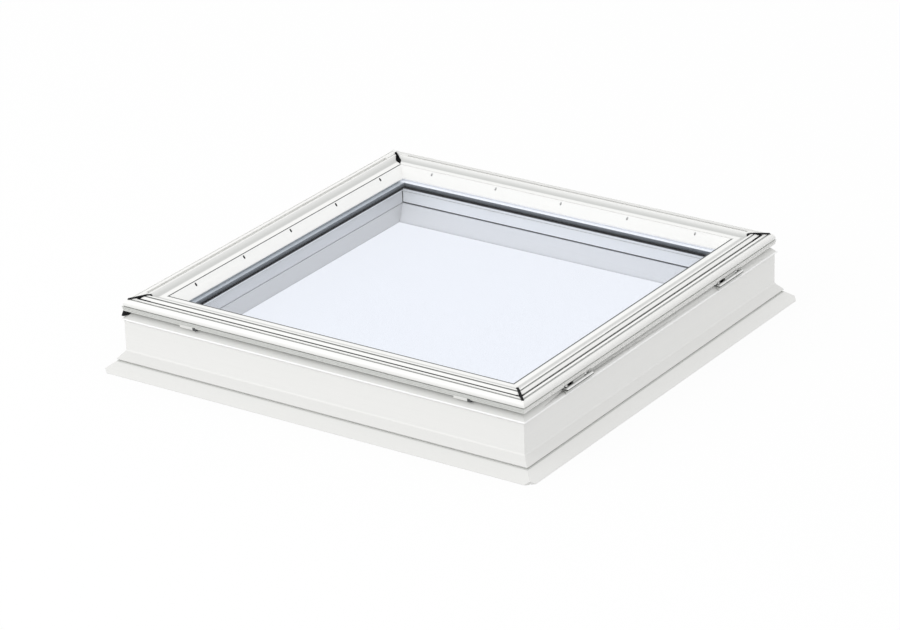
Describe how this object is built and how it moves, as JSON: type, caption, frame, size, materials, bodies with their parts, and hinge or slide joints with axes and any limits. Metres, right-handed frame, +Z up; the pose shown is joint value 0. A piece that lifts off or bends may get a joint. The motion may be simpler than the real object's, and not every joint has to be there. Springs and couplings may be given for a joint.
{
  "type": "flat roof skylight",
  "caption": "Square flat-roof skylight: white PVC-U kerb with sloping skirt and a hinged sash holding a flat insulating glass unit, seen closed and without a cover.",
  "frame": {"origin": "middle of the square footprint, on the roof plane under the kerb", "axes": "+Z up out of the roof, +X towards the hinge side, +Y along the hinges' axis"},
  "size_m": [1.1884, 1.1884, 0.1816],
  "materials": {
    "pvc_white": "white PVC-U extrusion, satin",
    "epdm_black": "black EPDM, matt",
    "float_glass": "clear float glass, faintly blue",
    "spacer_black": "black warm-edge spacer, matt",
    "silicone_grey": "light grey silicone edge seal",
    "tape_grey": "light grey glazing tape",
    "hinge_steel": "bright zinc-plated steel"
  },
  "bodies": {
    "kerb": {"kerb_front": "pvc_white", "kerb_right": "pvc_white", "kerb_back": "pvc_white", "kerb_left": "pvc_white", "skirt_front": "pvc_white", "skirt_right": "pvc_white", "skirt_back": "pvc_white", "skirt_left": "pvc_white", "reveal_board_front": "pvc_white", "reveal_board_right": "pvc_white", "reveal_board_back": "pvc_white", "reveal_board_left": "pvc_white", "reveal_joints": "epdm_black", "weather_seal": "epdm_black", "rebate_seal": "epdm_black", "hinge_kerb_leaf_front": "hinge_steel", "hinge_kerb_leaf_back": "hinge_steel", "hinge_pin_front": "hinge_steel", "hinge_pin_back": "hinge_steel", "hinge_kerb_screws": "hinge_steel", "corner_wedges": "epdm_black"},
    "sash": {"sash_front": "pvc_white", "sash_right": "pvc_white", "sash_back": "pvc_white", "sash_left": "pvc_white", "bead_front": "pvc_white", "bead_right": "pvc_white", "bead_back": "pvc_white", "bead_left": "pvc_white", "guide_blocks": "pvc_white", "sash_packer": "pvc_white", "bead_gasket": "epdm_black", "setting_blocks": "epdm_black", "guide_buffers": "epdm_black", "mitre_seal_front": "epdm_black", "mitre_seal_right": "epdm_black", "mitre_seal_back": "epdm_black", "mitre_seal_left": "epdm_black", "hinge_sash_leaf_front": "hinge_steel", "hinge_sash_leaf_back": "hinge_steel", "hinge_sash_screws": "hinge_steel", "glass_upper": "float_glass", "glass_lower": "float_glass", "spacer_bar": "spacer_black", "edge_sealant": "silicone_grey", "rest_gasket": "tape_grey"}
  },
  "joints": [
    {"name": "sash_hinge", "type": "hinge", "parent": "kerb", "child": "sash", "pos_m": [0.554, 0, 0.14], "axis": [0, 1, 0], "range_deg": [0, 60]}
  ]
}
